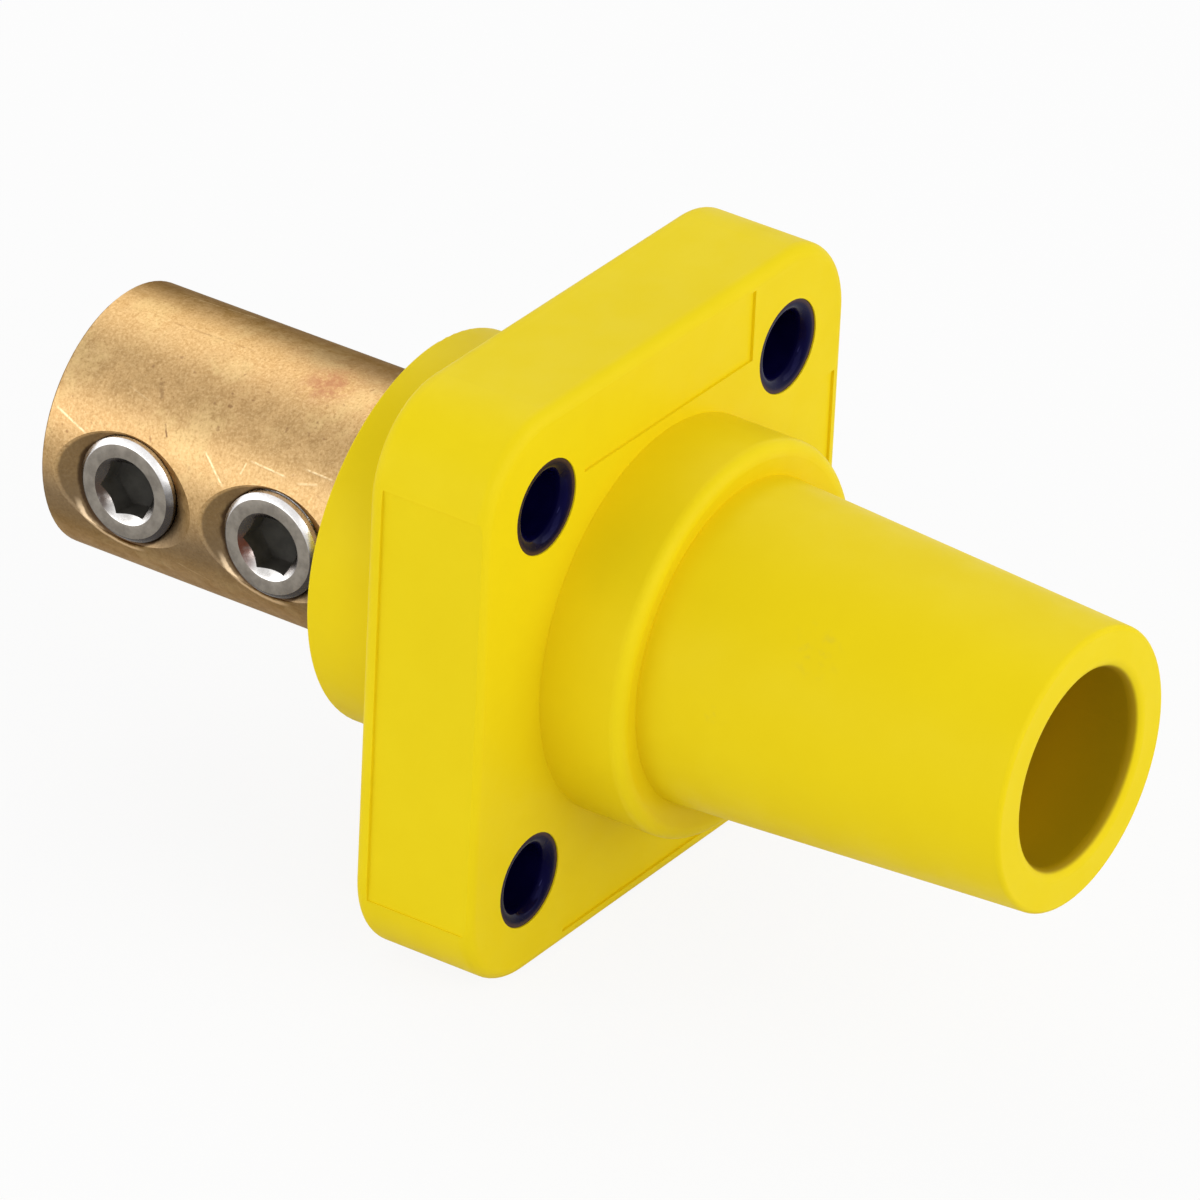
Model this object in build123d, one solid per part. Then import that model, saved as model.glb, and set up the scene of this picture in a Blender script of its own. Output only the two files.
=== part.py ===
from build123d import *
import math
import os

# Single-pole power receptacle for panel mounting.
# The origin is the centre of the flange's back face. The nose points to -Y, the cable barrel to +Y.
# Every Y place below is measured from that back face.

# Flange
FLANGE_SIDE = 52.5
FLANGE_THICKNESS = 11.65
FLANGE_CORNER_R = 8.6
FLANGE_FRONT_ROUND = 1.1
FLANGE_BACK_ROUND = 1.2
HOLE_INSET = 8.75

# Shallow bare panels in the flange's faces
PANEL_DEPTH = 0.25
PANEL_LENGTH = 24.4
PANEL_COLLAR_GAP = 1.1
PANEL_RIM = 1.3
SIDE_PANEL_LENGTH = 38.4
SIDE_PANEL_BACK_RIM = 1.5

# Collar round the nose, in front of the flange
COLLAR_R = 17.3
COLLAR_HEIGHT = 8.2
COLLAR_DISH_DEPTH = 0.8
COLLAR_RIM_ROUND = 1.05

# Nose
NOSE_ROOT_R = 14.25
NOSE_TIP_R = 12.3
NOSE_LENGTH = 41.25
NOSE_TIP_ROUND = 0.45
THROAT_R = 8.55
THROAT_ROUND = 1.05

# Rear boss
BOSS_R = 17.3
BOSS_LENGTH = 11.65
BOSS_EDGE_ROUND = 0.2

# Contact
SOCKET_BORE_R = 8.02
SOCKET_WALL = 2.6
SOCKET_FRONT_Y = -38.0
SOCKET_BOTTOM_Y = -4.0
SOCKET_LEAD_IN = 0.7
SOCKET_RELIEF_LENGTH = 8.0
SOCKET_RELIEF_DEPTH = 0.4
SHOULDER_STEP = 1.4
SHOULDER_LENGTH = 4.2
SHOULDER_FLAT_DEPTH = 1.0
SEAT_Y = 5.0
BARREL_R = 11.6
BARREL_END_Y = 43.1
BARREL_END_CHAMFER = 0.2
CABLE_BORE_R = 6.35
CABLE_BORE_DEPTH = 32.0
CABLE_BORE_LEAD_IN = 0.8
DRILL_POINT_ANGLE = 118.0
CONTACT_CLEARANCE = 0.15
SOCKET_END_CLEARANCE = 0.3

# Cam pin across the bottom of the socket
CAM_PIN_R = 1.6
CAM_PIN_OFFSET_Z = 5.0
CAM_PIN_CLEARANCE = 0.01

# Retaining ring
RING_THICKNESS = 1.3
RING_WIDTH = 1.7
RING_GROOVE_DEPTH = 0.85
RING_GAP_ANGLE = 24.0
RING_CLEARANCE = 0.1

# Clamp set screws
SCREW_R = 4.76
SCREW_LENGTH = 4.75
SCREW_END_DISTANCE = 8.4
SCREW_SPACING = 14.85
SCREW_SINK_FRONT = 0.2
SCREW_SINK_REAR = 0.4
SCREW_FACE_CHAMFER = 0.43
SCREW_TIP_CHAMFER = 0.8
SCREW_CUP_R = 2.6
SCREW_CUP_DEPTH = 0.7
SCREW_CLEARANCE = 0.05
HEX_ACROSS_FLATS = 4.76
HEX_DEPTH = 2.6
HEX_MOUTH_R = 3.05
HEX_TURN_FRONT = 3.0
HEX_TURN_REAR = 8.0
COUNTERSINK_R = 7.05
COUNTERSINK_ANGLE = 120.0

# Eyelets in the mounting holes
EYELET_HEAD_R = 4.15
EYELET_SINK = 0.12
EYELET_HEAD_DEPTH = 1.5
EYELET_SLEEVE_R = 3.6
EYELET_BORE_R = 2.85
EYELET_LIP_ROUND = 0.95
EYELET_CLEARANCE = 0.03

# Places that follow from the sizes above
SCREW_REAR_Y = BARREL_END_Y - SCREW_END_DISTANCE
SCREW_FRONT_Y = SCREW_REAR_Y - SCREW_SPACING
FRONT_Y = -FLANGE_THICKNESS
CORE_Y = FRONT_Y / 2
TIP_Y = FRONT_Y - NOSE_LENGTH
SOCKET_R = SOCKET_BORE_R + SOCKET_WALL
SHOULDER_R = BARREL_R + SHOULDER_STEP
SHOULDER_FLATS = 2 * (SHOULDER_R - SHOULDER_FLAT_DEPTH)
SHOULDER_END_Y = SEAT_Y + SHOULDER_LENGTH
RING_Y = SHOULDER_END_Y + RING_CLEARANCE
RING_GROOVE_R = SHOULDER_R + CONTACT_CLEARANCE + RING_GROOVE_DEPTH


def turned(points):
    """A solid of revolution about Y from straight runs through (radius, y) points."""
    return revolve(make_face(Polyline(points, close=True)), Axis.Y)


def cylinder_along_y(radius, y_from, y_to):
    return turned([(0, y_from), (radius, y_from), (radius, y_to), (0, y_to)])


def flatted_disc(radius, across_flats, y_from, y_to):
    """A disc about Y with two flats, which face -X and +X."""
    slab = Box(across_flats, y_to - y_from, 4 * radius)
    return cylinder_along_y(radius, y_from, y_to) & Pos(0, (y_from + y_to) / 2, 0) * slab


def cone_along_x(r_outer, x_outer, r_inner, x_inner, y):
    """A cone or a cylinder about an X line at height zero, between two X places."""
    section = Polyline((0, x_outer), (r_outer, x_outer), (r_inner, x_inner), (0, x_inner), close=True)
    solid = revolve(make_face(section), Axis.Y)
    return Pos(0, y, 0) * Rot(0, 0, -90) * solid


def hole_places():
    half = FLANGE_SIDE / 2 - HOLE_INSET
    return [("upper_left", -half, half), ("upper_right", half, half),
            ("lower_left", -half, -half), ("lower_right", half, -half)]


def flange_block():
    outline = Plane.XZ * RectangleRounded(FLANGE_SIDE, FLANGE_SIDE, FLANGE_CORNER_R)
    block = extrude(outline, amount=FLANGE_THICKNESS)
    front_edges = block.faces().sort_by(Axis.Y)[0].edges()
    block = fillet(front_edges, FLANGE_FRONT_ROUND)
    back_edges = block.faces().sort_by(Axis.Y)[-1].edges()
    return fillet(back_edges, FLANGE_BACK_ROUND)


def flange_panels():
    """The shallow bare fields: above, right of and below the nose, and on the left side face.

    The one on the side face is open to the front and ends where the corners turn away.
    """
    half = FLANGE_SIDE / 2
    inner = COLLAR_R + PANEL_COLLAR_GAP
    outer = half - PANEL_RIM
    middle = (inner + outer) / 2
    width = outer - inner
    depth_centre = FRONT_Y + PANEL_DEPTH / 2
    fields = [Pos(0, depth_centre, middle) * Box(PANEL_LENGTH, PANEL_DEPTH, width),
              Pos(middle, depth_centre, 0) * Box(width, PANEL_DEPTH, PANEL_LENGTH),
              Pos(0, depth_centre, -middle) * Box(PANEL_LENGTH, PANEL_DEPTH, width)]
    side_width = FLANGE_THICKNESS - SIDE_PANEL_BACK_RIM
    side = Pos(PANEL_DEPTH / 2 - half, FRONT_Y + side_width / 2, 0)
    fields.append(side * Box(PANEL_DEPTH, side_width, SIDE_PANEL_LENGTH))
    return fields


def collar_and_nose():
    """The turned outer form in front of the flange: wall, dished rim and tapered nose.

    The rim's face slopes back a little towards the nose, and its outer edge is rounded.
    """
    rim_y = FRONT_Y - COLLAR_HEIGHT
    root_y = rim_y + COLLAR_DISH_DEPTH
    solid = turned([(0, CORE_Y), (COLLAR_R, CORE_Y), (COLLAR_R, rim_y), (NOSE_ROOT_R, root_y),
                    (NOSE_TIP_R, TIP_Y), (0, TIP_Y)])
    rim_edge = solid.edges().filter_by(GeomType.CIRCLE).sort_by(Axis.Y)[1]
    solid = fillet(rim_edge, COLLAR_RIM_ROUND)
    tip_edge = solid.edges().filter_by(GeomType.CIRCLE).sort_by(Axis.Y)[0]
    return fillet(tip_edge, NOSE_TIP_ROUND)


def rear_boss():
    boss = cylinder_along_y(BOSS_R, CORE_Y, BOSS_LENGTH)
    end_edge = boss.edges().filter_by(GeomType.CIRCLE).sort_by(Axis.Y)[-1]
    return fillet(end_edge, BOSS_EDGE_ROUND)


def contact_chamber():
    """The room that the contact fills from the rear, with the ring groove near the boss's end."""
    shoulder_r = SHOULDER_R + CONTACT_CLEARANCE
    flats = SHOULDER_FLATS + 2 * CONTACT_CLEARANCE
    front_y = SOCKET_FRONT_Y - SOCKET_END_CLEARANCE
    groove_end_y = RING_Y + RING_THICKNESS + RING_CLEARANCE
    chamber = cylinder_along_y(SOCKET_R + CONTACT_CLEARANCE, front_y, SEAT_Y)
    seat = flatted_disc(shoulder_r, flats, SEAT_Y, SHOULDER_END_Y)
    entry = cylinder_along_y(shoulder_r, SHOULDER_END_Y, BOSS_LENGTH)
    groove = cylinder_along_y(RING_GROOVE_R, RING_Y - RING_CLEARANCE, groove_end_y)
    return chamber + seat + entry + groove


def throat():
    """The open mouth of the nose, rounded outward where the plug enters."""
    mouth_r = THROAT_R + THROAT_ROUND
    inner_y = TIP_Y + THROAT_ROUND
    corner = RadiusArc((mouth_r, TIP_Y), (THROAT_R, inner_y), THROAT_ROUND)
    sides = Polyline((THROAT_R, inner_y), (THROAT_R, SOCKET_FRONT_Y), (0, SOCKET_FRONT_Y),
                     (0, TIP_Y), (mouth_r, TIP_Y))
    return revolve(make_face(corner + sides), Axis.Y)


def eyelet_hole(x, z):
    sleeve_r = EYELET_SLEEVE_R + EYELET_CLEARANCE
    head_r = EYELET_HEAD_R + EYELET_CLEARANCE
    head_y = FRONT_Y + EYELET_HEAD_DEPTH
    hole = turned([(0, 0), (sleeve_r, 0), (sleeve_r, head_y),
                   (head_r, head_y), (head_r, FRONT_Y), (0, FRONT_Y)])
    return Pos(x, 0, z) * hole


def insulator_body():
    body = flange_block()
    for field in flange_panels():
        body -= field
    body = body + collar_and_nose() + rear_boss()
    body -= contact_chamber()
    body -= throat()
    for _, x, z in hole_places():
        body -= eyelet_hole(x, z)
    return body


def eyelet(x, z):
    """A flanged sleeve whose head curls into the bore like a shallow funnel."""
    top_y = FRONT_Y + EYELET_SINK
    head_y = FRONT_Y + EYELET_HEAD_DEPTH
    lip_r = EYELET_BORE_R + EYELET_LIP_ROUND
    lip_y = top_y + EYELET_LIP_ROUND
    lip = RadiusArc((lip_r, top_y), (EYELET_BORE_R, lip_y), EYELET_LIP_ROUND)
    rest = Polyline((EYELET_BORE_R, lip_y), (EYELET_BORE_R, 0), (EYELET_SLEEVE_R, 0),
                    (EYELET_SLEEVE_R, head_y), (EYELET_HEAD_R, head_y), (EYELET_HEAD_R, top_y),
                    (lip_r, top_y))
    return Pos(x, 0, z) * revolve(make_face(lip + rest), Axis.Y)


def contact_blank():
    """The turned outside: socket, shoulder and barrel."""
    barrel = cylinder_along_y(BARREL_R, SHOULDER_END_Y, BARREL_END_Y)
    end_edge = barrel.edges().filter_by(GeomType.CIRCLE).sort_by(Axis.Y)[-1]
    barrel = chamfer(end_edge, BARREL_END_CHAMFER)
    shoulder = flatted_disc(SHOULDER_R, SHOULDER_FLATS, SEAT_Y, SHOULDER_END_Y)
    return cylinder_along_y(SOCKET_R, SOCKET_FRONT_Y, SEAT_Y) + shoulder + barrel


def drill_point_depth(radius):
    return radius / math.tan(math.radians(DRILL_POINT_ANGLE / 2))


def socket_bore():
    """The front bore with its lead-in, the wider relief where the cam pin crosses, and a drill point."""
    relief_r = SOCKET_BORE_R + SOCKET_RELIEF_DEPTH
    relief_y = SOCKET_BOTTOM_Y - SOCKET_RELIEF_LENGTH
    lead_r = SOCKET_BORE_R + SOCKET_LEAD_IN
    lead_y = SOCKET_FRONT_Y + SOCKET_LEAD_IN
    return turned([(0, SOCKET_FRONT_Y), (lead_r, SOCKET_FRONT_Y), (SOCKET_BORE_R, lead_y),
                   (SOCKET_BORE_R, relief_y), (relief_r, relief_y), (relief_r, SOCKET_BOTTOM_Y),
                   (0, SOCKET_BOTTOM_Y + drill_point_depth(relief_r))])


def cable_bore():
    """The drilled rear bore, with a lead-in at its mouth and the drill's point at its bottom."""
    bottom_y = BARREL_END_Y - CABLE_BORE_DEPTH
    lead_r = CABLE_BORE_R + CABLE_BORE_LEAD_IN
    lead_y = BARREL_END_Y - CABLE_BORE_LEAD_IN
    return turned([(0, BARREL_END_Y), (lead_r, BARREL_END_Y), (CABLE_BORE_R, lead_y),
                   (CABLE_BORE_R, bottom_y), (0, bottom_y - drill_point_depth(CABLE_BORE_R))])


def screw_hole(y):
    """A hole for a set screw in the barrel's -X wall, countersunk where it meets the outside."""
    hole_r = SCREW_R + SCREW_CLEARANCE
    mouth_x = -BARREL_R
    depth = (COUNTERSINK_R - hole_r) / math.tan(math.radians(COUNTERSINK_ANGLE / 2))
    hole = cone_along_x(hole_r, mouth_x, hole_r, 0, y)
    return hole + cone_along_x(COUNTERSINK_R, mouth_x, hole_r, mouth_x + depth, y)


def cam_pin_half_length():
    """As long as the pin can be without standing out of the socket's outside."""
    reach = CAM_PIN_OFFSET_Z + CAM_PIN_R
    return math.sqrt(SOCKET_R**2 - reach**2)


def cam_pin_bar(radius, half_length):
    y = SOCKET_BOTTOM_Y - SOCKET_RELIEF_LENGTH / 2
    bar = cone_along_x(radius, -half_length, radius, half_length, y)
    return Pos(0, 0, CAM_PIN_OFFSET_Z) * bar


def contact():
    body = contact_blank()
    body -= socket_bore()
    body -= cable_bore()
    for y in (SCREW_FRONT_Y, SCREW_REAR_Y):
        body -= screw_hole(y)
    body -= cam_pin_bar(CAM_PIN_R, SOCKET_R)
    return body


def cam_pin():
    return cam_pin_bar(CAM_PIN_R - CAM_PIN_CLEARANCE, cam_pin_half_length())


def retaining_ring():
    """An open flat ring that springs into the groove of the boss behind the contact's shoulder."""
    outer_r = RING_GROOVE_R - RING_CLEARANCE
    inner_r = outer_r - RING_WIDTH
    section = Polyline((inner_r, RING_Y), (outer_r, RING_Y), (outer_r, RING_Y + RING_THICKNESS),
                       (inner_r, RING_Y + RING_THICKNESS), close=True)
    ring = revolve(make_face(section), Axis.Y, revolution_arc=360 - RING_GAP_ANGLE)
    return Rot(0, -90, 0) * ring


def set_screw(y, face_sink, hex_turn):
    """A hexagon socket set screw with a cup point, lying along X with its socket facing -X."""
    face_x = -BARREL_R + face_sink
    tip_x = face_x + SCREW_LENGTH
    face_r = SCREW_R - SCREW_FACE_CHAMFER
    tip_r = SCREW_R - SCREW_TIP_CHAMFER
    outline = Polyline((0, face_x), (face_r, face_x), (SCREW_R, face_x + SCREW_FACE_CHAMFER),
                       (SCREW_R, tip_x - SCREW_TIP_CHAMFER), (tip_r, tip_x), (SCREW_CUP_R, tip_x),
                       (0, tip_x - SCREW_CUP_DEPTH), close=True)
    blank = revolve(make_face(outline), Axis.Y)
    floor_x = face_x + HEX_DEPTH
    hexagon = RegularPolygon(HEX_ACROSS_FLATS / 2, 6, major_radius=False, rotation=hex_turn)
    socket = extrude(Plane.XZ.offset(-floor_x) * hexagon, amount=HEX_DEPTH)
    mouth = turned([(0, face_x), (HEX_MOUTH_R, face_x), (0, face_x + HEX_MOUTH_R)])
    return Pos(0, y, 0) * Rot(0, 0, -90) * (blank - socket - mouth)


def build_all():
    nodes = {
        "insulator_body": insulator_body(),
        "contact": contact(),
        "cam_pin": cam_pin(),
        "retaining_ring": retaining_ring(),
        "set_screw_front": set_screw(SCREW_FRONT_Y, SCREW_SINK_FRONT, HEX_TURN_FRONT),
        "set_screw_rear": set_screw(SCREW_REAR_Y, SCREW_SINK_REAR, HEX_TURN_REAR),
    }
    for name, x, z in hole_places():
        nodes["eyelet_" + name] = eyelet(x, z)
    return nodes


os.makedirs("parts", exist_ok=True)
for node_name, solid in build_all().items():
    export_step(solid, f"parts/{node_name}.step")
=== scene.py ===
import math

import bpy
from mathutils import Matrix, Vector


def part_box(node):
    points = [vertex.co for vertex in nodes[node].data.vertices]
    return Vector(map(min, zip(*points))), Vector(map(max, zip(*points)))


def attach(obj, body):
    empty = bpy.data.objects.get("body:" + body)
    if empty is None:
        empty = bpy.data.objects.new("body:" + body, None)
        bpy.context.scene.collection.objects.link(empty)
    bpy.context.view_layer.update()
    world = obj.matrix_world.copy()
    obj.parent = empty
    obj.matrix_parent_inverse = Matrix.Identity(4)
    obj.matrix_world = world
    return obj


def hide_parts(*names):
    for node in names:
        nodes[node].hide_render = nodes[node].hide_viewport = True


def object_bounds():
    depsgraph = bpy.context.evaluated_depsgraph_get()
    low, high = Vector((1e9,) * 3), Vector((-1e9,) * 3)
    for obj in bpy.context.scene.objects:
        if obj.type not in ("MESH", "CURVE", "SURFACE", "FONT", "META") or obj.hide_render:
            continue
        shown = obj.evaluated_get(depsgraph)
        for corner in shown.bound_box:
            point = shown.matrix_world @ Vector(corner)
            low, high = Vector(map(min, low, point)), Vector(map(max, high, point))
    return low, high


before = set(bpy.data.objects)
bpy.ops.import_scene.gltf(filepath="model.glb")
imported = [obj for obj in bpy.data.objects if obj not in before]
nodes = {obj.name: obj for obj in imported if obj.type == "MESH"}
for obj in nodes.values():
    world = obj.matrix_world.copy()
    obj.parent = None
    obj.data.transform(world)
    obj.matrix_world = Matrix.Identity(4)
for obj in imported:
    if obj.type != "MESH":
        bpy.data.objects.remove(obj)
cad_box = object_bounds()

MM = 0.001

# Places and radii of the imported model, in mm
BARREL_R = 11.6
SCREW_R = 4.76
SCREW_PLACES = {"front": 19.85, "rear": 34.7}
HOLE_OFFSET = 17.5


def rgb(red, green, blue):
    return (red, green, blue, 1.0)


# Shader helpers

class Graph:
    """A material's node tree, with short calls for the nodes that are used most."""

    def __init__(self, name):
        self.material = bpy.data.materials.new(name)
        self.material.use_nodes = True
        self.tree = self.material.node_tree
        self.shader = self.tree.nodes["Principled BSDF"]
        self.output = self.tree.nodes["Material Output"]
        self.object_place = self.add("ShaderNodeTexCoord").outputs["Object"]

    def add(self, kind, **settings):
        node = self.tree.nodes.new(kind)
        for key, value in settings.items():
            setattr(node, key, value)
        return node

    def put(self, socket, value):
        if isinstance(value, bpy.types.NodeSocket):
            self.tree.links.new(value, socket)
        else:
            socket.default_value = value

    def math(self, operation, first, second=0.0):
        node = self.add("ShaderNodeMath", operation=operation)
        self.put(node.inputs[0], first)
        self.put(node.inputs[1], second)
        return node.outputs[0]

    def plus(self, first, second):
        return self.math("ADD", first, second)

    def minus(self, first, second):
        return self.math("SUBTRACT", first, second)

    def times(self, first, second):
        return self.math("MULTIPLY", first, second)

    def larger(self, first, second):
        return self.math("MAXIMUM", first, second)

    def length(self, first, second):
        squares = [self.math("POWER", side, 2.0) for side in (first, second)]
        return self.math("SQRT", self.plus(*squares))

    def noise(self, scale, detail=3.0, roughness=0.5, place=None):
        node = self.add("ShaderNodeTexNoise")
        self.put(node.inputs["Vector"], place or self.object_place)
        node.inputs["Scale"].default_value = scale
        node.inputs["Detail"].default_value = detail
        node.inputs["Roughness"].default_value = roughness
        return node.outputs["Fac"]

    def stretch(self, factors):
        node = self.add("ShaderNodeMapping")
        self.put(node.inputs["Vector"], self.object_place)
        node.inputs["Scale"].default_value = factors
        return node.outputs["Vector"]

    def range(self, value, low, high, to_low=0.0, to_high=1.0):
        """A smooth step of the value between two limits, from one level to another."""
        node = self.add("ShaderNodeMapRange", interpolation_type="SMOOTHSTEP")
        self.put(node.inputs["Value"], value)
        limits = {"From Min": low, "From Max": high, "To Min": to_low, "To Max": to_high}
        for name, number in limits.items():
            node.inputs[name].default_value = number
        return node.outputs["Result"]

    def mix(self, factor, first, second):
        node = self.add("ShaderNodeMix", data_type="RGBA")
        self.put(node.inputs[0], factor)
        self.put(node.inputs[6], first)
        self.put(node.inputs[7], second)
        return node.outputs[2]

    def clouds(self, noise, first, second):
        """One colour that turns into another in soft clouds."""
        return self.mix(self.range(noise, 0.35, 0.65), first, second)

    def vary(self, noise, low, high):
        """A level that varies between two limits with a noise."""
        return self.range(noise, 0.3, 0.7, low, high)

    def bump(self, height, strength, distance, normal=None):
        """A bumpy normal. The distance is in mm."""
        node = self.add("ShaderNodeBump")
        node.inputs["Strength"].default_value = strength
        node.inputs["Distance"].default_value = distance * MM
        self.put(node.inputs["Height"], height)
        if normal is not None:
            self.put(node.inputs["Normal"], normal)
        return node.outputs["Normal"]

    def split(self, vector):
        """The vector's three parts in mm."""
        node = self.add("ShaderNodeSeparateXYZ")
        self.put(node.inputs[0], vector)
        return [self.times(part, 1.0 / MM) for part in node.outputs]

    def distance(self, place):
        """How far a point lies from a place, both in mm."""
        node = self.add("ShaderNodeVectorMath", operation="DISTANCE")
        self.put(node.inputs[0], self.object_place)
        node.inputs[1].default_value = [value * MM for value in place]
        return self.times(node.outputs["Value"], 1.0 / MM)

    def finish(self, colour, roughness, normal, metallic=0.0, specular=0.5):
        self.put(self.shader.inputs["Base Color"], colour)
        self.put(self.shader.inputs["Roughness"], roughness)
        self.put(self.shader.inputs["Normal"], normal)
        self.shader.inputs["Metallic"].default_value = metallic
        self.shader.inputs["Specular IOR Level"].default_value = specular
        return self.material


# Yellow moulding

YELLOW_DEEP = rgb(0.842, 0.650, 0.0060)
YELLOW_LIGHT = rgb(0.862, 0.672, 0.0080)
YELLOW_WARM = rgb(0.822, 0.622, 0.0050)
SCUFFED = rgb(0.50, 0.40, 0.12)
# Painted shade inside the throat
THROAT_PAINTED_SHADE_FRONT = rgb(0.30, 0.170, 0.0008)
THROAT_PAINTED_SHADE_BACK = rgb(0.46, 0.250, 0.0010)
THROAT_SHADE = 0.86

# Scuffs: centre in mm, radius in mm, strength
SCUFFS = [
    ((-10.5, -33.5, 9.0), 3.2, 0.13),
    ((-13.2, -26.0, 2.0), 2.2, 0.10),
    ((26.0, -6.0, -9.0), 4.0, 0.25),
    ((9.0, -46.0, -8.5), 3.0, 0.25),
]


def yellow_plastic():
    g = Graph("yellow_moulded_plastic")
    cloud = g.noise(260.0, 4.0, 0.6)
    colour = g.clouds(g.noise(45.0, 2.0), YELLOW_DEEP, YELLOW_LIGHT)
    colour = g.mix(g.range(cloud, 0.3, 0.75, 0.0, 0.3), colour, YELLOW_WARM)
    smudge = g.noise(900.0, 5.0, 0.7)
    for centre, radius, amount in SCUFFS:
        near = g.range(g.distance(centre), radius, 0.2 * radius)
        scuff = g.times(near, g.range(smudge, 0.5, 0.68, 0.0, amount))
        colour = g.mix(scuff, colour, SCUFFED)

    # Painted shade: the throat is darker, most of all just behind its mouth
    x, y, z = g.split(g.object_place)
    inside = g.times(g.range(g.length(x, z), 9.0, 8.7), g.range(y, -36.0, -38.0))
    throat = g.mix(g.range(y, -51.5, -45.0), THROAT_PAINTED_SHADE_FRONT, THROAT_PAINTED_SHADE_BACK)
    colour = g.mix(g.times(inside, THROAT_SHADE), colour, throat)

    waves = g.bump(g.noise(95.0, 2.0), 0.25, 0.12)
    grain = g.bump(g.noise(5200.0, 3.0, 0.6), 0.12, 0.02, waves)
    return g.finish(colour, g.vary(cloud, 0.42, 0.52), grain, specular=0.08)


# Brass of the contact

BRASS_BROWN = rgb(0.430, 0.268, 0.112)
BRASS_PALE = rgb(0.560, 0.368, 0.168)
BRASS_RED = rgb(0.49, 0.290, 0.125)
BRASS_WORN = rgb(0.640, 0.470, 0.215)
BRASS_TINT = rgb(0.45, 0.33, 0.22)
GRAIN_LIGHT = rgb(0.69, 0.48, 0.245)
GRAIN_DARK = rgb(0.31, 0.18, 0.07)
# Painted dark reflection and painted pale reflection of the barrel
PAINTED_DARK_REFLECTION = rgb(0.155, 0.122, 0.090)
PAINTED_PALE_REFLECTION = rgb(0.60, 0.50, 0.39)
SPECK = rgb(0.22, 0.11, 0.05)
BLOTCH = rgb(0.36, 0.15, 0.08)
BLOTCH_PLACE = (-2.4, 20.3, 11.3)
# Painted shade in the countersinks and screw gaps, and a chewed edge with a painted highlight
COUNTERSINK_PAINTED_SHADE = rgb(0.135, 0.088, 0.044)
GAP_PAINTED_SHADOW = rgb(0.05, 0.028, 0.015)
CHEWED_EDGE_AND_HIGHLIGHT = rgb(0.95, 0.72, 0.46)
SCRATCH = rgb(0.86, 0.70, 0.43)
DARK_MARK = rgb(0.13, 0.06, 0.03)

# Scratches: start and end as distance round the barrel and along it in mm, half width in mm, strength
SCRATCHES = [
    (5.39, 42.6, 4.01, 38.9, 0.15, 0.64),
    (6.21, 27.5, 3.79, 24.8, 0.14, 0.64),
    (6.74, 23.2, 6.48, 19.1, 0.12, 0.56),
    (5.28, 23.6, 6.55, 23.3, 0.11, 0.40),
    (7.67, 18.1, 7.59, 14.9, 0.12, 0.56),
    (6.28, 18.2, 6.85, 16.1, 0.16, 0.32),
    (9.10, 36.8, 8.40, 33.9, 0.08, 0.20),
    (-5.60, 30.0, -6.80, 26.5, 0.11, 0.32),
    (21.0, 40.0, 22.4, 31.0, 0.11, 0.32),
    (27.0, 22.0, 28.2, 35.5, 0.14, 0.32),
    (-12.0, 38.0, -13.5, 29.0, 0.11, 0.32),
]
# Dark marks, given in the same way
DARK_MARKS = [
    (7.19, 32.0, 5.98, 31.3, 0.13, 0.75),
    (10.39, 34.1, 8.92, 33.1, 0.30, 0.35),
    (16.27, 37.5, 16.49, 28.0, 0.14, 0.22),
    (24.0, 36.0, 24.4, 27.0, 0.25, 0.3),
]


def segment_mask(g, around, along, line):
    """The line's strength on a short straight line of the unrolled barrel, and 0 away from it."""
    u0, v0, u1, v1, half_width, amount = line
    length = math.hypot(u1 - u0, v1 - v0)
    du, dv = (u1 - u0) / length, (v1 - v0) / length
    u = g.minus(around, (u0 + u1) / 2)
    v = g.minus(along, (v0 + v1) / 2)
    forward = g.math("ABSOLUTE", g.plus(g.times(u, du), g.times(v, dv)))
    aside = g.math("ABSOLUTE", g.minus(g.times(u, dv), g.times(v, du)))
    inside = g.range(aside, half_width, 0.25 * half_width)
    return g.times(inside, g.range(forward, length / 2, 0.35 * length, 0.0, amount))


def line_masks(g, around, along, lines):
    result, *others = [segment_mask(g, around, along, line) for line in lines]
    for mask in others:
        result = g.larger(result, mask)
    return result


def mottled(g, broad, mottle, fine):
    """The metal itself: brown and pale mottling, worn patches, and a light and a dark grain."""
    colour = g.mix(g.range(mottle, 0.28, 0.72), BRASS_BROWN, BRASS_PALE)
    colour = g.mix(g.range(broad, 0.45, 0.7, 0.0, 0.3), colour, BRASS_RED)
    patches = g.range(g.noise(190.0, 3.0, 0.6), 0.5, 0.66, 0.0, 0.45)
    colour = g.mix(g.times(patches, g.range(mottle, 0.3, 0.6)), colour, BRASS_WORN)
    colour = g.mix(g.range(fine, 0.48, 0.66, 0.0, 0.55), colour, GRAIN_LIGHT)
    return g.mix(g.range(fine, 0.47, 0.34, 0.0, 0.55), colour, GRAIN_DARK)


def painted_reflection_bands(g, colour, angle, broad):
    """Painted dark reflection bands below the screws and along the far side of the top, and a painted
    pale reflection strip below the first one.

    All three fade out before the side opposite the screws, where the angle jumps by a full turn.
    """
    turned = g.plus(angle, g.times(g.minus(broad, 0.5), 0.5))
    under = g.times(g.range(turned, 0.12, -0.3, 0.0, 0.62), g.range(turned, -0.8, -0.35))
    far_side = g.times(g.range(turned, 1.4, 1.95, 0.0, 0.66), g.range(turned, 2.8, 2.2))
    # Painted dark reflections
    colour = g.mix(g.larger(under, far_side), colour, PAINTED_DARK_REFLECTION)
    # Painted pale reflection strip lowest down
    lowest = g.times(g.range(turned, -0.4, -0.9, 0.0, 0.5), g.range(turned, -2.7, -1.9))
    return g.mix(lowest, colour, PAINTED_PALE_REFLECTION)


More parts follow.
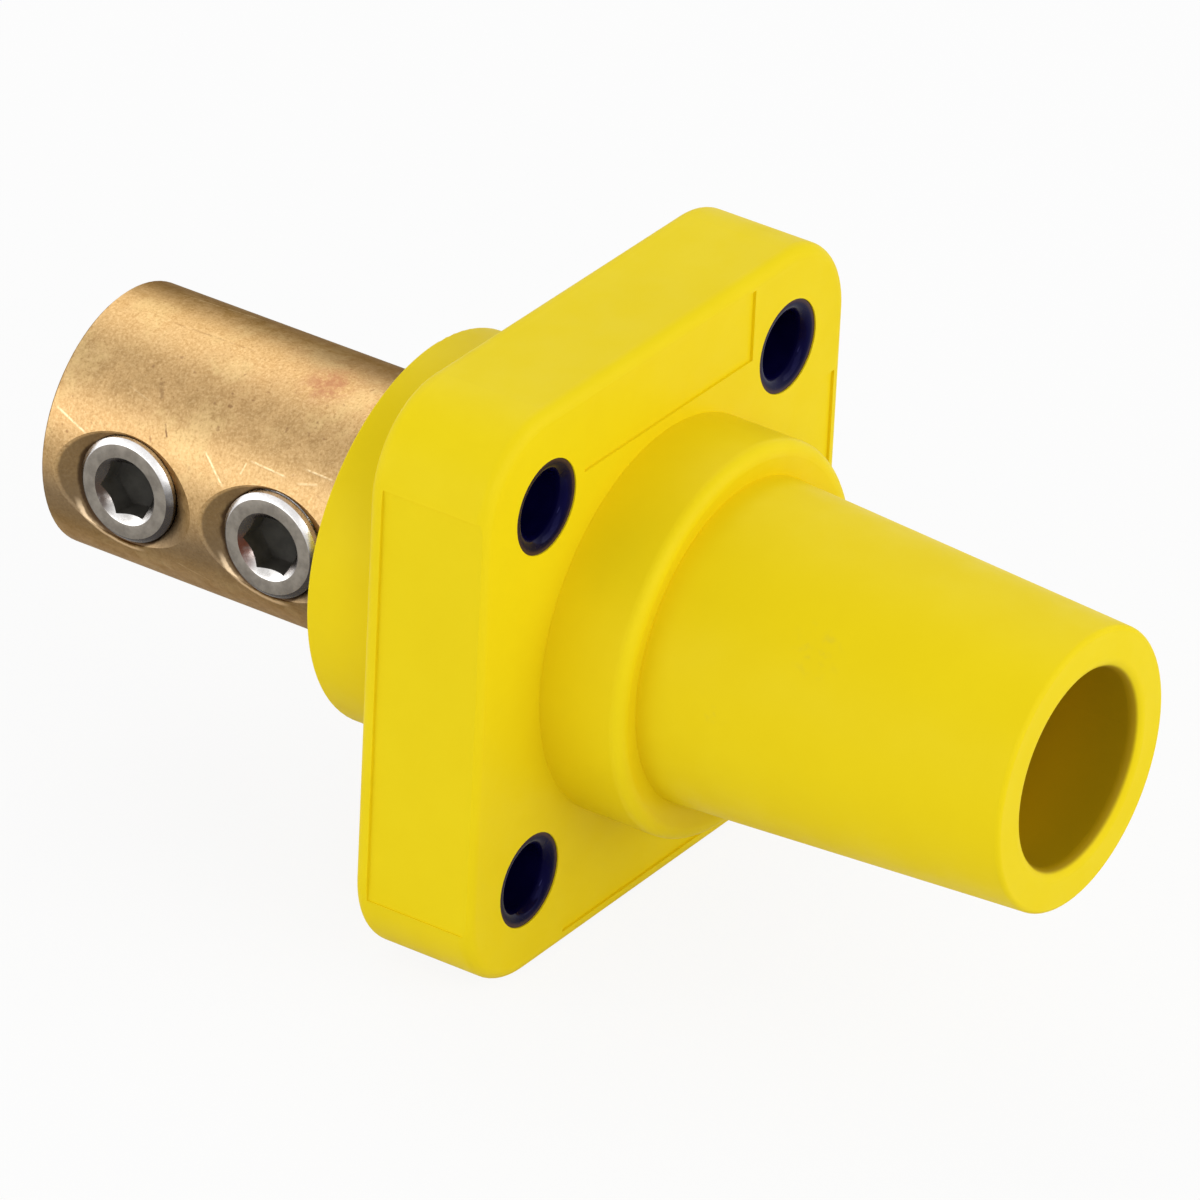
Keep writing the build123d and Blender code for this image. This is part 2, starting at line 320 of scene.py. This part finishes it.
def stained(g, colour, broad, mottle):
    """Small dark specks, and one reddish blotch near the flange."""
    specks = g.times(g.range(g.noise(1500.0, 2.0), 0.66, 0.76), g.range(broad, 0.4, 0.6))
    colour = g.mix(g.times(specks, 0.6), colour, SPECK)
    blotch = g.times(g.range(g.distance(BLOTCH_PLACE), 3.4, 0.8), g.range(mottle, 0.4, 0.62))
    return g.mix(g.times(blotch, 0.7), colour, BLOTCH)


def screw_holes_shade_and_highlight(g, colour, place, mottle):
    """Painted shade in the countersinks and in dark rings at the screw gaps, and a chewed edge with a
    painted highlight, round the screw holes.
    """
    x, y, z = place
    near_side = g.range(x, -7.0, -8.0)
    sunk = g.times(g.range(g.length(x, z), 11.5, 11.35), g.range(x, -6.0, -7.0))
    for middle in SCREW_PLACES.values():
        aside = g.minus(y, middle)
        away = g.plus(g.length(aside, z), g.times(g.minus(mottle, 0.5), 0.5))
        # Painted shade in the countersink, deepest towards its rear side
        cone = g.times(sunk, g.range(away, 7.7, 7.4))
        cone = g.times(cone, g.range(aside, -3.0, 2.5, 0.0, 0.7))
        colour = g.mix(cone, colour, COUNTERSINK_PAINTED_SHADE)
        upper_right = g.range(g.minus(z, aside), -4.5, 1.5, 0.0, 0.6)
        # Painted shadow in the gap round the screw, narrower at the upper right
        ring = g.times(g.range(g.plus(away, upper_right), 5.45, 5.2), near_side)
        colour = g.mix(g.times(ring, 0.9), colour, GAP_PAINTED_SHADOW)
        # Chewed burr edge, lit as a painted highlight at its lower left
        edge = g.times(g.range(away, 5.45, 5.6), g.range(away, 6.0, 5.75))
        low_left = g.times(g.range(z, -2.2, -3.6), g.range(aside, -2.0, 0.0))
        edge = g.times(g.times(edge, near_side), low_left)
        colour = g.mix(g.times(edge, 0.8), colour, CHEWED_EDGE_AND_HIGHLIGHT)
    return colour


def brass():
    g = Graph("worn_turned_brass")
    x, y, z = g.split(g.object_place)
    angle = g.math("ARCTAN2", z, g.times(x, -1.0))
    around = g.times(angle, BARREL_R)
    broad = g.noise(70.0, 3.0, 0.55)
    mottle = g.noise(760.0, 7.0, 0.72)
    fine = g.noise(3800.0, 4.0, 0.75)
    streaks = g.noise(60.0, 5.0, 0.6, g.stretch((7.0, 60.0, 7.0)))

    colour = mottled(g, broad, mottle, fine)
    # Painted dark and pale reflection bands round the barrel
    colour = painted_reflection_bands(g, colour, angle, broad)
    colour = stained(g, colour, broad, mottle)
    # Painted shade and highlight round the screw holes
    colour = screw_holes_shade_and_highlight(g, colour, (x, y, z), mottle)
    bright = line_masks(g, around, y, SCRATCHES)
    bright = g.times(bright, g.range(g.noise(2600.0, 2.0), 0.3, 0.55, 0.25, 1.0))
    colour = g.mix(bright, colour, SCRATCH)
    dark = line_masks(g, around, y, DARK_MARKS)
    dark = g.times(dark, g.range(g.noise(2300.0, 3.0), 0.38, 0.55, 0.1, 1.0))
    colour = g.mix(dark, colour, DARK_MARK)

    g.shader.inputs["Specular Tint"].default_value = BRASS_TINT
    height = g.plus(g.times(mottle, 0.6), g.times(fine, 0.4))
    normal = g.bump(streaks, 0.05, 0.04)
    normal = g.bump(height, 0.25, 0.06, normal)
    normal = g.bump(g.minus(1.0, bright), 0.35, 0.04, normal)
    return g.finish(colour, g.vary(mottle, 0.36, 0.48), normal, metallic=1.0)


# Metals of the screws, the pin and the ring, and the eyelets' coating

# Painted shade on the screws' edges and hexagon mouths
EDGE_PAINTED_SHADE = rgb(0.045, 0.036, 0.033)
MOUTH_PAINTED_SHADE = rgb(0.045, 0.036, 0.030)
RUST = rgb(0.120, 0.042, 0.026)
GRIME = rgb(0.085, 0.060, 0.048)
FINE_SCALE = 4200.0


def cloud_noise(g, scale):
    return g.noise(scale, 4.0, 0.6)


def fine_noise(g, scale=FINE_SCALE):
    return g.noise(scale, 3.0, 0.6)


def screw_face():
    """The dull dark flat ring round the hexagon."""
    g = Graph("dull_screw_face")
    cloud, fine = cloud_noise(g, 700.0), fine_noise(g)
    colour = g.clouds(cloud, rgb(0.225, 0.200, 0.170), rgb(0.310, 0.280, 0.240))
    colour = g.mix(g.range(fine, 0.5, 0.75, 0.0, 0.5), colour, rgb(0.32, 0.295, 0.26))
    return g.finish(colour, g.vary(fine, 0.36, 0.5), g.bump(fine, 0.25, 0.03), metallic=1.0)


def screw_edge():
    """Bright plated steel, with painted shade towards the underside."""
    g = Graph("bright_plated_steel")
    _, _, z = g.split(g.object_place)
    cloud, fine = cloud_noise(g, 600.0), fine_noise(g)
    colour = g.clouds(cloud, rgb(0.72, 0.70, 0.69), rgb(0.86, 0.845, 0.84))
    # Painted shade towards the underside
    painted_shade = g.range(g.plus(z, g.times(cloud, 1.2)), 3.4, 0.6)
    colour = g.mix(g.times(painted_shade, 0.96), colour, EDGE_PAINTED_SHADE)
    return g.finish(colour, g.vary(fine, 0.24, 0.34), g.bump(fine, 0.15, 0.02), metallic=1.0)


def screw_mouth(which, side_colour):
    """The chamfered mouth of the hexagon: bright below, with painted shade above, and stained at one
    side.
    """
    g = Graph("hexagon_mouth_steel_" + which)
    _, y, z = g.split(g.object_place)
    cloud, fine = cloud_noise(g, 900.0), fine_noise(g)
    colour = g.clouds(cloud, rgb(0.60, 0.58, 0.56), rgb(0.86, 0.84, 0.82))
    # Painted shade on the upper part of the mouth
    painted_shade = g.range(g.plus(z, g.times(cloud, 1.0)), -1.4, -0.2)
    colour = g.mix(g.times(painted_shade, 0.95), colour, MOUTH_PAINTED_SHADE)
    at_side = g.range(g.minus(y, SCREW_PLACES[which]), 0.9, 2.3)
    stain = g.times(at_side, g.range(z, 0.7, -0.7))
    stain = g.times(stain, g.range(cloud, 0.3, 0.6, 0.55, 0.95))
    colour = g.mix(stain, colour, side_colour)
    return g.finish(colour, g.vary(fine, 0.22, 0.34), g.bump(cloud, 0.2, 0.03), metallic=1.0)


def screw_socket():
    """The inside of the hexagon, painted very dark as shade in the socket."""
    g = Graph("socket_steel_painted_shade")
    cloud, fine = cloud_noise(g, 700.0), fine_noise(g, 3600.0)
    # Painted shade: the socket is coloured very dark
    colour = g.clouds(cloud, rgb(0.040, 0.037, 0.031), rgb(0.058, 0.054, 0.046))
    colour = g.mix(g.range(fine, 0.66, 0.74, 0.0, 0.4), colour, rgb(0.10, 0.09, 0.075))
    return g.finish(colour, g.vary(cloud, 0.5, 0.65), g.bump(cloud, 0.2, 0.03), specular=0.25)


def black_coating():
    """The eyelets' glossy coating, nearly black with a blue shine and browner at the outer edge."""
    g = Graph("glossy_black_coating")
    x, _, z = g.split(g.object_place)
    cloud = g.noise(380.0, 3.0)
    fine = g.noise(3000.0, 3.0)
    colour = g.clouds(cloud, rgb(0.0012, 0.0008, 0.020), rgb(0.0022, 0.0014, 0.028))
    across, upward = [g.minus(g.math("ABSOLUTE", side), HOLE_OFFSET) for side in (x, z)]
    rim = g.range(g.length(across, upward), 3.65, 4.1)
    colour = g.mix(g.times(rim, 0.9), colour, rgb(0.075, 0.040, 0.030))
    g.shader.inputs["Specular Tint"].default_value = rgb(0.35, 0.35, 1.0)
    return g.finish(colour, g.vary(cloud, 0.10, 0.16), g.bump(fine, 0.06, 0.02), specular=0.10)


def spring_steel():
    g = Graph("spring_steel")
    cloud = cloud_noise(g, 420.0)
    colour = g.clouds(cloud, rgb(0.20, 0.19, 0.18), rgb(0.30, 0.29, 0.275))
    return g.finish(colour, g.vary(cloud, 0.3, 0.45), g.bump(cloud, 0.15, 0.02), metallic=1.0)


def dress(names, material):
    for name in names:
        mesh = nodes[name].data
        mesh.materials.clear()
        mesh.materials.append(material)


CORNERS = ("upper_left", "upper_right", "lower_left", "lower_right")

dress(["insulator_body"], yellow_plastic())
dress(["contact"], brass())
dress(["cam_pin", "retaining_ring"], spring_steel())
dress(["eyelet_" + corner for corner in CORNERS], black_coating())


# Set screws with their threads, in place of the plain solids. All sizes are in mm.

SCREW_LENGTH = 4.75
FACE_R = 4.33
FACE_CHAMFER = 0.43
TIP_CHAMFER = 0.8
CUP_R = 2.6
CUP_DEPTH = 0.7
HEX_APOTHEM = 2.38
HEX_DEPTH = 2.6
HEX_MOUTH_R = 3.05
DRILL_R = 2.15
DRILL_DEPTH = 3.25

SCREW_PITCH = 1.5875
THREAD_DEPTH = 0.92
THREAD_GAP = 0.01
CREST_END, ROOT_START = 0.1, 0.8
RUN_OUT_START, RUN_OUT_END = 0.9, 1.9

SHARP_ANGLE = math.radians(35.0)
SEGMENTS = 144
THREAD_ROWS = 64

FACE_PART, EDGE_PART, MOUTH_PART, SOCKET_PART = range(4)


def smoothstep(value, low, high):
    t = min(max((value - low) / (high - low), 0.0), 1.0)
    return t * t * (3.0 - 2.0 * t)


def hexagon_radius(angle, turn):
    """Distance from the axis to a hexagon's wall in one direction."""
    sector = math.radians(60.0)
    local = (angle - turn) % sector - sector / 2
    return HEX_APOTHEM / math.cos(local)


def thread_radius(depth, angle):
    """The threaded outside, whose groove runs out towards the chamfered face."""
    turn = (depth / SCREW_PITCH + angle / (2 * math.pi)) % 1.0
    from_crest = abs(2.0 * turn - 1.0)
    groove = THREAD_DEPTH * smoothstep(from_crest, CREST_END, ROOT_START)
    return SCREW_R - THREAD_GAP - groove * smoothstep(depth, RUN_OUT_START, RUN_OUT_END)


def screw_rings(turn):
    """Rings of radius, depth and part, from socket to cup, with a small flat at each edge.

    A radius or depth that changes round the screw is a function of the angle.
    """
    def wall(angle):
        return hexagon_radius(angle, turn)

    rings = [
        (DRILL_R, HEX_DEPTH + 0.02, SOCKET_PART),
        (lambda angle: wall(angle) - 0.03, HEX_DEPTH, SOCKET_PART),
        (wall, HEX_DEPTH - 0.05, SOCKET_PART),
        (wall, lambda angle: HEX_MOUTH_R - wall(angle), SOCKET_PART),
        (HEX_MOUTH_R - 0.02, 0.02, MOUTH_PART),
        (HEX_MOUTH_R + 0.03, 0.0, MOUTH_PART),
        (FACE_R - 0.05, 0.0, FACE_PART),
        (FACE_R + 0.02, 0.03, EDGE_PART),
        (SCREW_R - 0.03, FACE_CHAMFER - 0.02, EDGE_PART),
    ]
    tip_start = SCREW_LENGTH - TIP_CHAMFER
    for row in range(THREAD_ROWS + 1):
        depth = FACE_CHAMFER + (SCREW_LENGTH - FACE_CHAMFER) * row / THREAD_ROWS
        limit = SCREW_R - max(depth - tip_start, 0.0)

        def thread(angle, depth=depth, limit=limit):
            return min(thread_radius(depth, angle), limit)

        rings.append((thread, depth, EDGE_PART))
    rings.append((CUP_R, SCREW_LENGTH, FACE_PART))
    return rings


def at(value, angle):
    return value(angle) if callable(value) else value


def screw_mesh(name, axis_y, face_x, hex_turn):
    """A closed mesh round a line along X, with its face towards -X."""
    vertices = []
    faces = []
    parts = []
    rings = screw_rings(math.radians(hex_turn))

    def point(radius, depth, angle):
        x = face_x + depth
        y = axis_y - radius * math.cos(angle)
        return (x * MM, y * MM, radius * math.sin(angle) * MM)

    for radius, depth, _ in rings:
        for k in range(SEGMENTS):
            angle = 2 * math.pi * k / SEGMENTS
            vertices.append(point(at(radius, angle), at(depth, angle), angle))
    for row in range(len(rings) - 1):
        for k in range(SEGMENTS):
            following = (k + 1) % SEGMENTS
            first, second = row * SEGMENTS, (row + 1) * SEGMENTS
            faces.append((first + k, first + following, second + following, second + k))
            parts.append(rings[row + 1][2])
    drill_tip = len(vertices)
    vertices.append(point(0.0, DRILL_DEPTH, 0.0))
    cup_bottom = len(vertices)
    vertices.append(point(0.0, SCREW_LENGTH - CUP_DEPTH, 0.0))
    last = (len(rings) - 1) * SEGMENTS
    for k in range(SEGMENTS):
        following = (k + 1) % SEGMENTS
        faces.append((drill_tip, following, k))
        parts.append(SOCKET_PART)
        faces.append((cup_bottom, last + k, last + following))
        parts.append(FACE_PART)
    mesh = bpy.data.meshes.new(name)
    mesh.from_pydata(vertices, [], faces)
    for polygon, part in zip(mesh.polygons, parts):
        polygon.material_index = part
        polygon.use_smooth = True
    mesh.flip_normals()
    mesh.set_sharp_from_angle(angle=SHARP_ANGLE)
    return mesh


# Which screw, how far its hexagon is turned in degrees, and the stain at the hexagon's side
SCREWS = [("front", 3.0, RUST), ("rear", 8.0, GRIME)]


def add_screws():
    face, edge, socket = screw_face(), screw_edge(), screw_socket()
    for which, hex_turn, stain in SCREWS:
        node = "set_screw_" + which
        face_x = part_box(node)[0][0] / MM
        mesh = screw_mesh("threaded_" + node, SCREW_PLACES[which], face_x, hex_turn)
        for material in (face, edge, screw_mouth(which, stain), socket):
            mesh.materials.append(material)
        screw = bpy.data.objects.new("threaded_" + node, mesh)
        bpy.context.scene.collection.objects.link(screw)
        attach(screw, which + "_screw")
        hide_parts(node)


add_screws()


# Floor, background and light, in metres

FLOOR_COLOUR = rgb(0.80, 0.80, 0.80)
FLOOR_GAP = 0.00005
FLOOR_HALF = 4.0
FLOOR_GLOW_SEEN = 0.9
FLOOR_GLOW_REFLECTED = 0.3
WORLD_LIGHT = 0.5

# Soft boxes: name, direction from the object, width and height, brightness
LAMP_DISTANCE = 1.3
LAMPS = [
    ("left_box", (-0.75, 0.61, 0.25), (2.0, 0.68), 1.7),
    ("top_box", (0.466, 0.476, 0.746), (1.1, 0.8), 1.4),
    ("right_front_box", (0.45, -0.80, 0.40), (0.9, 0.9), 1.6),
    ("left_front_box", (-0.16, -0.85, 0.50), (0.9, 0.9), 1.6),
    ("camera_side_box", (-0.69, -0.60, 0.40), (0.2, 0.35), 8.0),
]

# The camera that was fitted to the photograph
CAMERA_PLACE = Vector((-0.74863, -0.49372, 0.50290))
CAMERA_RIGHT = Vector((0.56561573, -0.82355363, 0.04287493))
CAMERA_DOWN = Vector((-0.3840744, -0.30907659, -0.87003363))
CAMERA_AHEAD = Vector((0.729771, 0.47563754, -0.49112445))
CAMERA_LENS = 373.0
SENSOR_WIDTH = 36.0


def floor_material():
    """White ground, which the camera sees mostly as plain white with a soft shadow left on it."""
    g = Graph("floor_white")
    g.tree.nodes.remove(g.shader)
    matte = g.add("ShaderNodeBsdfDiffuse")
    matte.inputs["Color"].default_value = FLOOR_COLOUR
    glow = g.add("ShaderNodeEmission")
    glow.inputs["Strength"].default_value = 1.0
    path = g.add("ShaderNodeLightPath")
    seen = g.times(path.outputs["Is Camera Ray"], FLOOR_GLOW_SEEN)
    reflected = g.larger(path.outputs["Is Glossy Ray"], path.outputs["Is Transmission Ray"])
    blend = g.add("ShaderNodeMixShader")
    g.put(blend.inputs[0], g.larger(seen, g.times(reflected, FLOOR_GLOW_REFLECTED)))
    g.put(blend.inputs[1], matte.outputs[0])
    g.put(blend.inputs[2], glow.outputs[0])
    g.put(g.output.inputs["Surface"], blend.outputs[0])
    return g.material


def make_floor(level):
    mesh = bpy.data.meshes.new("floor")
    corners = [(-1, -1), (1, -1), (1, 1), (-1, 1)]
    vertices = [(x * FLOOR_HALF, y * FLOOR_HALF, level) for x, y in corners]
    mesh.from_pydata(vertices, [], [(0, 1, 2, 3)])
    mesh.materials.append(floor_material())
    floor = bpy.data.objects.new("floor", mesh)
    bpy.context.scene.collection.objects.link(floor)


def make_world():
    """Soft light from all round, which the camera and reflections see as plain white."""
    world = bpy.data.worlds.new("studio")
    world.use_nodes = True
    tree = world.node_tree
    background = tree.nodes["Background"]
    background.inputs["Color"].default_value = rgb(1.0, 1.0, 1.0)
    path = tree.nodes.new("ShaderNodeLightPath")
    seen = path.outputs["Is Camera Ray"]
    for name in ("Is Glossy Ray", "Is Transmission Ray"):
        either = tree.nodes.new("ShaderNodeMath")
        either.operation = "MAXIMUM"
        tree.links.new(seen, either.inputs[0])
        tree.links.new(path.outputs[name], either.inputs[1])
        seen = either.outputs[0]
    level = tree.nodes.new("ShaderNodeMapRange")
    level.inputs["To Min"].default_value = WORLD_LIGHT
    level.inputs["To Max"].default_value = 1.0
    tree.links.new(seen, level.inputs["Value"])
    tree.links.new(level.outputs["Result"], background.inputs["Strength"])
    bpy.context.scene.world = world


def make_lamp(name, direction, size, brightness):
    """A soft box that faces the object.

    Its brightness is 1 where it looks as white as the background.
    """
    place = Vector(direction).normalized() * LAMP_DISTANCE
    light = bpy.data.lights.new(name, "AREA")
    light.shape = "RECTANGLE"
    light.size, light.size_y = size
    light.energy = brightness * math.pi * size[0] * size[1]
    holder = bpy.data.objects.new(name, light)
    holder.location = place
    holder.rotation_euler = (-place).to_track_quat("-Z", "Y").to_euler()
    holder.visible_camera = False
    bpy.context.scene.collection.objects.link(holder)


def make_camera():
    data = bpy.data.cameras.new("photo_camera")
    data.sensor_width = SENSOR_WIDTH
    data.lens = CAMERA_LENS
    data.clip_start = 0.01
    data.clip_end = 100.0
    camera = bpy.data.objects.new("photo_camera", data)
    turn = Matrix((CAMERA_RIGHT, -CAMERA_DOWN, -CAMERA_AHEAD)).transposed().to_4x4()
    camera.matrix_world = Matrix.Translation(CAMERA_PLACE) @ turn
    bpy.context.scene.collection.objects.link(camera)
    bpy.context.scene.camera = camera


make_floor(cad_box[0][2] - FLOOR_GAP)
make_world()
for lamp in LAMPS:
    make_lamp(*lamp)
make_camera()

view = bpy.context.scene.view_settings
view.view_transform = "Standard"
